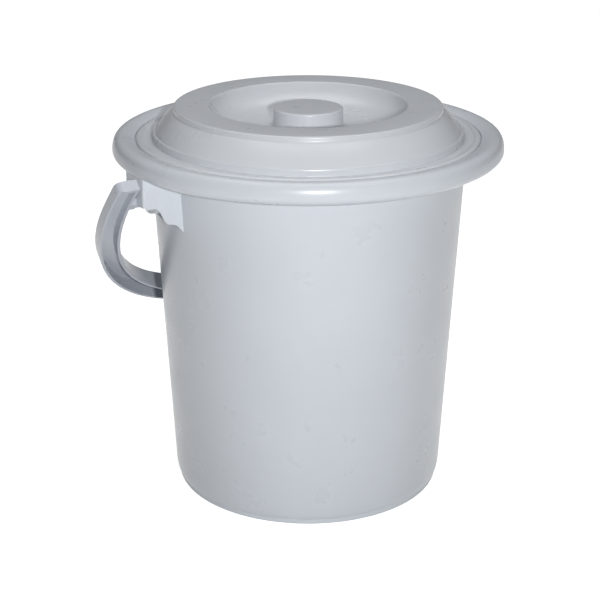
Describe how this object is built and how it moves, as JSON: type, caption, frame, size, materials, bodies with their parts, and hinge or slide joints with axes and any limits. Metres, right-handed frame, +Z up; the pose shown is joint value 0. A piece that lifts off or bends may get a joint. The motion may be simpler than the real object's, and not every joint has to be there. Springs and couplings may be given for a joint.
{
  "type": "toilet bucket",
  "caption": "Tapered plastic bucket with a wide rolled flange, a loose domed lid with a moulded centre knob, and one bail handle that swings on pins in two ears under the flange",
  "frame": {"origin": "centre of the bucket's base, on the surface that it stands on", "axes": "+Z up along the bucket's axis, X through the two ears, which is the handle's hinge axis, +Y towards the back, where the handle hangs"},
  "size_m": [0.408, 0.36, 0.366],
  "materials": {
    "bucket_plastic": "fine satin, moulded",
    "lid_plastic": "fine satin, moulded",
    "handle_plastic": "satin, moulded"
  },
  "bodies": {
    "bucket": {"bucket": "bucket_plastic", "lid": "lid_plastic"},
    "handle": {"handle": "handle_plastic"}
  },
  "joints": [
    {"name": "handle_swing", "type": "hinge", "parent": "bucket", "child": "handle", "pos_m": [0, 0, 0.3], "axis": [1, 0, 0], "range_deg": [0, 270.5]}
  ]
}
